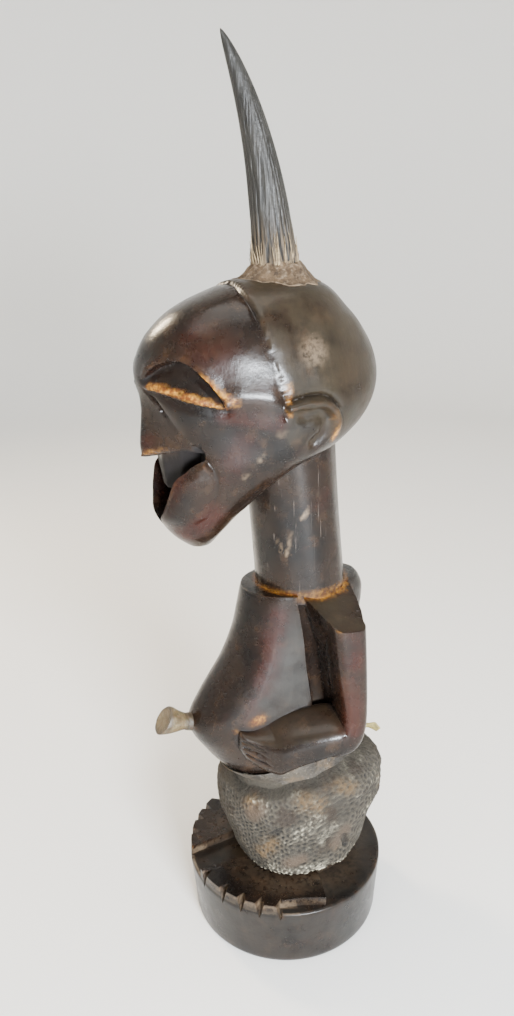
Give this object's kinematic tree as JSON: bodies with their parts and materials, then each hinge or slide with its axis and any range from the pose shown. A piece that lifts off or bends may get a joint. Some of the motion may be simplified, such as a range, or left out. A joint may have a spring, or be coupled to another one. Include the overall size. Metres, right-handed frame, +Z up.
{
  "type": "carved standing figure",
  "caption": "Carved dark wood standing figure on a round base, with hands on its belly, a crown horn, a belly stopper and a lizard-hide skirt.",
  "frame": {"origin": "centre of the base's underside", "axes": "the figure faces -Y, +X is the figure's left, +Z runs up to the horn's tip"},
  "size_m": [0.14, 0.164, 0.5744],
  "materials": {
    "wood": "dark hand-polished patina, worn to gold at the edges",
    "horn": "dark horn, striated, frayed and straw-coloured at its foot",
    "resin": "brown earthy resin, matt",
    "charge": "dry clay-like packing",
    "stopper_horn": "translucent brown-olive horn, worn smooth",
    "hide": "dry granular lizard hide, grey-brown with pale specks",
    "hide_strip": "smooth dry hide strip",
    "thong": "yellow-olive rawhide"
  },
  "bodies": {
    "figure": {"carved_figure": "wood", "horn_sheath": "horn", "horn_packing": "charge", "resin_collar": "resin", "crown_charge": "charge", "belly_charge": "charge", "hide_skirt": "hide", "waist_band": "hide_strip", "skirt_tie": "thong"},
    "stopper": {"belly_stopper": "stopper_horn"}
  },
  "joints": [
    {"name": "stopper_pull", "type": "slide", "parent": "figure", "child": "stopper", "axis": [0, -0.9537, 0.3007], "range_m": [0, 0.03]}
  ]
}
